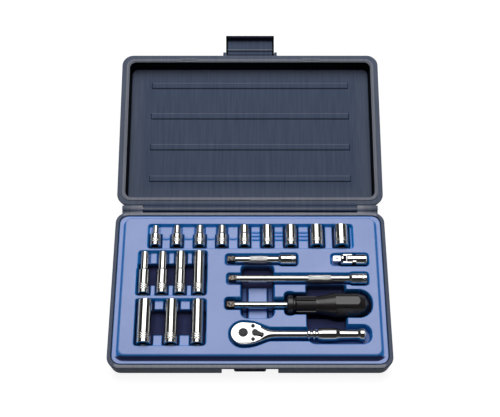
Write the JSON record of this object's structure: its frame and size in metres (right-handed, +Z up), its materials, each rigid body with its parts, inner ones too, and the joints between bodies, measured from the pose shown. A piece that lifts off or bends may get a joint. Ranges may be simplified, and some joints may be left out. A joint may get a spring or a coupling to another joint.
{
  "type": "socket wrench set in case",
  "caption": "Socket wrench set in an open hinged plastic case: ratchet, spinner, extensions, universal joint, standard and deep sockets lie in a formed blue tray.",
  "frame": {"origin": "centre of the flat underside of the base", "axes": "+X to the right of someone at the open case, +Y from the front to the hinge, +Z up"},
  "size_m": [0.302, 0.4077, 0.065],
  "materials": {
    "case_plastic": "fine-grained dark slate grey plastic",
    "tray_plastic": "satin blue formed sheet",
    "chrome": "polished chrome plate",
    "steel": "bright machined steel",
    "handle_plastic": "satin black plastic",
    "dark_steel": "black oxide"
  },
  "bodies": {
    "case": {"base_shell": "case_plastic", "tool_tray": "tray_plastic", "hinge_pin": "steel"},
    "lid": {"lid_shell": "case_plastic", "latch_pin": "steel"},
    "latch": {"latch_flap": "case_plastic"},
    "standard_socket_1": {"standard_socket_1": "chrome"},
    "standard_socket_2": {"standard_socket_2": "chrome"},
    "standard_socket_3": {"standard_socket_3": "chrome"},
    "standard_socket_4": {"standard_socket_4": "chrome"},
    "standard_socket_5": {"standard_socket_5": "chrome"},
    "standard_socket_6": {"standard_socket_6": "chrome"},
    "standard_socket_7": {"standard_socket_7": "chrome"},
    "standard_socket_8": {"standard_socket_8": "chrome"},
    "standard_socket_9": {"standard_socket_9": "chrome"},
    "deep_socket_1": {"deep_socket_1": "chrome"},
    "deep_socket_2": {"deep_socket_2": "chrome"},
    "deep_socket_3": {"deep_socket_3": "chrome"},
    "deep_socket_4": {"deep_socket_4": "chrome"},
    "deep_socket_5": {"deep_socket_5": "chrome"},
    "deep_socket_6": {"deep_socket_6": "chrome"},
    "deep_socket_7": {"deep_socket_7": "chrome"},
    "short_extension": {"short_bar": "chrome", "short_bar_spring": "steel"},
    "long_extension": {"long_bar": "chrome", "long_bar_spring": "steel"},
    "joint_socket_end": {"joint_socket_yoke": "chrome"},
    "joint_cross": {"joint_block": "steel", "joint_pins": "steel"},
    "joint_drive_end": {"joint_drive_yoke": "chrome", "joint_spring": "steel"},
    "spinner": {"spinner_shaft": "chrome", "spinner_handle": "handle_plastic", "spinner_spring": "steel"},
    "ratchet": {"ratchet_body": "chrome", "ratchet_cover": "chrome", "ratchet_screws": "dark_steel", "pawl_spring": "steel"},
    "short_detent": {"short_bar_ball": "steel"},
    "long_detent": {"long_bar_ball": "steel"},
    "joint_detent": {"joint_ball": "steel"},
    "spinner_detent": {"spinner_ball": "steel"},
    "drive_gear": {"ratchet_gear": "steel", "release_spring": "steel"},
    "button": {"release_button": "dark_steel"},
    "drive_detent": {"ratchet_ball": "steel"},
    "lever": {"ratchet_lever": "dark_steel"},
    "pawl": {"ratchet_pawl": "steel"},
    "pawl_detent": {"pawl_ball": "steel"}
  },
  "joints": [
    {"name": "lid_hinge", "type": "hinge", "parent": "case", "child": "lid", "pos_m": [0, 0.0984, 0.0225], "axis": [-1, 0, 0], "range_deg": [-169, 0]},
    {"name": "latch_hinge", "type": "hinge", "parent": "lid", "child": "latch", "pos_m": [0, 0.29136, 0.05491], "axis": [-1, 0, 0], "range_deg": [-90, 0]},
    {"name": "standard_socket_1_lift", "type": "slide", "parent": "case", "child": "standard_socket_1", "axis": [0, 0, 1], "range_m": [0, 0.08]},
    {"name": "standard_socket_2_lift", "type": "slide", "parent": "case", "child": "standard_socket_2", "axis": [0, 0, 1], "range_m": [0, 0.08]},
    {"name": "standard_socket_3_lift", "type": "slide", "parent": "case", "child": "standard_socket_3", "axis": [0, 0, 1], "range_m": [0, 0.08]},
    {"name": "standard_socket_4_lift", "type": "slide", "parent": "case", "child": "standard_socket_4", "axis": [0, 0, 1], "range_m": [0, 0.08]},
    {"name": "standard_socket_5_lift", "type": "slide", "parent": "case", "child": "standard_socket_5", "axis": [0, 0, 1], "range_m": [0, 0.08]},
    {"name": "standard_socket_6_lift", "type": "slide", "parent": "case", "child": "standard_socket_6", "axis": [0, 0, 1], "range_m": [0, 0.08]},
    {"name": "standard_socket_7_lift", "type": "slide", "parent": "case", "child": "standard_socket_7", "axis": [0, 0, 1], "range_m": [0, 0.08]},
    {"name": "standard_socket_8_lift", "type": "slide", "parent": "case", "child": "standard_socket_8", "axis": [0, 0, 1], "range_m": [0, 0.08]},
    {"name": "standard_socket_9_lift", "type": "slide", "parent": "case", "child": "standard_socket_9", "axis": [0, 0, 1], "range_m": [0, 0.08]},
    {"name": "deep_socket_1_lift", "type": "slide", "parent": "case", "child": "deep_socket_1", "axis": [0, 0, 1], "range_m": [0, 0.08]},
    {"name": "deep_socket_2_lift", "type": "slide", "parent": "case", "child": "deep_socket_2", "axis": [0, 0, 1], "range_m": [0, 0.08]},
    {"name": "deep_socket_3_lift", "type": "slide", "parent": "case", "child": "deep_socket_3", "axis": [0, 0, 1], "range_m": [0, 0.08]},
    {"name": "deep_socket_4_lift", "type": "slide", "parent": "case", "child": "deep_socket_4", "axis": [0, 0, 1], "range_m": [0, 0.08]},
    {"name": "deep_socket_5_lift", "type": "slide", "parent": "case", "child": "deep_socket_5", "axis": [0, 0, 1], "range_m": [0, 0.08]},
    {"name": "deep_socket_6_lift", "type": "slide", "parent": "case", "child": "deep_socket_6", "axis": [0, 0, 1], "range_m": [0, 0.08]},
    {"name": "deep_socket_7_lift", "type": "slide", "parent": "case", "child": "deep_socket_7", "axis": [0, 0, 1], "range_m": [0, 0.08]},
    {"name": "short_extension_lift", "type": "slide", "parent": "case", "child": "short_extension", "axis": [0, 0, 1], "range_m": [0, 0.08]},
    {"name": "long_extension_lift", "type": "slide", "parent": "case", "child": "long_extension", "axis": [0, 0, 1], "range_m": [0, 0.08]},
    {"name": "joint_socket_end_lift", "type": "slide", "parent": "case", "child": "joint_socket_end", "axis": [0, 0, 1], "range_m": [0, 0.08]},
    {"name": "joint_side_swing", "type": "hinge", "parent": "joint_socket_end", "child": "joint_cross", "pos_m": [0.109, 0.0315, 0.0265], "axis": [0, 0, 1], "range_deg": [-8, 8]},
    {"name": "joint_up_swing", "type": "hinge", "parent": "joint_cross", "child": "joint_drive_end", "pos_m": [0.109, 0.0315, 0.0265], "axis": [0, 1, 0], "range_deg": [0, 45]},
    {"name": "spinner_lift", "type": "slide", "parent": "case", "child": "spinner", "axis": [0, 0, 1], "range_m": [0, 0.08]},
    {"name": "ratchet_lift", "type": "slide", "parent": "case", "child": "ratchet", "axis": [0, 0, 1], "range_m": [0, 0.08]},
    {"name": "short_detent_press", "type": "slide", "parent": "short_extension", "child": "short_detent", "axis": [0, 0, -1], "range_m": [0, 0.0005], "stiffness_N_per_m": 200, "springref_m": -0.001, "deforming": ["short_bar_spring"]},
    {"name": "long_detent_press", "type": "slide", "parent": "long_extension", "child": "long_detent", "axis": [0, 0, -1], "range_m": [0, 0.0005], "stiffness_N_per_m": 200, "springref_m": -0.001, "deforming": ["long_bar_spring"]},
    {"name": "joint_detent_press", "type": "slide", "parent": "joint_drive_end", "child": "joint_detent", "axis": [0, 0, -1], "range_m": [0, 0.0005], "stiffness_N_per_m": 200, "springref_m": -0.001, "deforming": ["joint_spring"]},
    {"name": "spinner_detent_press", "type": "slide", "parent": "spinner", "child": "spinner_detent", "axis": [0, 0, -1], "range_m": [0, 0.0005], "stiffness_N_per_m": 200, "springref_m": -0.001, "deforming": ["spinner_spring"]},
    {"name": "drive_spin", "type": "hinge", "parent": "ratchet", "child": "drive_gear", "pos_m": [-0.0072, -0.0572, 0.02], "axis": [0, 0, 1], "continuous": true},
    {"name": "button_press", "type": "slide", "parent": "drive_gear", "child": "button", "axis": [0, 0, -1], "range_m": [0, 0.002], "stiffness_N_per_m": 300, "springref_m": -0.002, "deforming": ["release_spring"]},
    {"name": "drive_ball_sink", "type": "slide", "parent": "drive_gear", "child": "drive_detent", "axis": [-1, 0, 0], "range_m": [0, 0.00034]},
    {"name": "lever_turn", "type": "hinge", "parent": "ratchet", "child": "lever", "pos_m": [0.0053, -0.0572, 0.031], "axis": [0, 0, 1], "range_deg": [0, 40]},
    {"name": "pawl_turn", "type": "hinge", "parent": "ratchet", "child": "pawl", "pos_m": [0.0053, -0.0572, 0.025], "axis": [0, 0, 1], "range_deg": [0, 12]},
    {"name": "pawl_ball_press", "type": "slide", "parent": "ratchet", "child": "pawl_detent", "axis": [1, 0, 0], "range_m": [0, 0.0004], "stiffness_N_per_m": 200, "springref_m": -0.001}
  ],
  "couplings": [
    {"joint": "drive_ball_sink", "follows": "button_press", "ratio": 0.17},
    {"joint": "pawl_turn", "follows": "lever_turn", "ratio": 0.3}
  ]
}
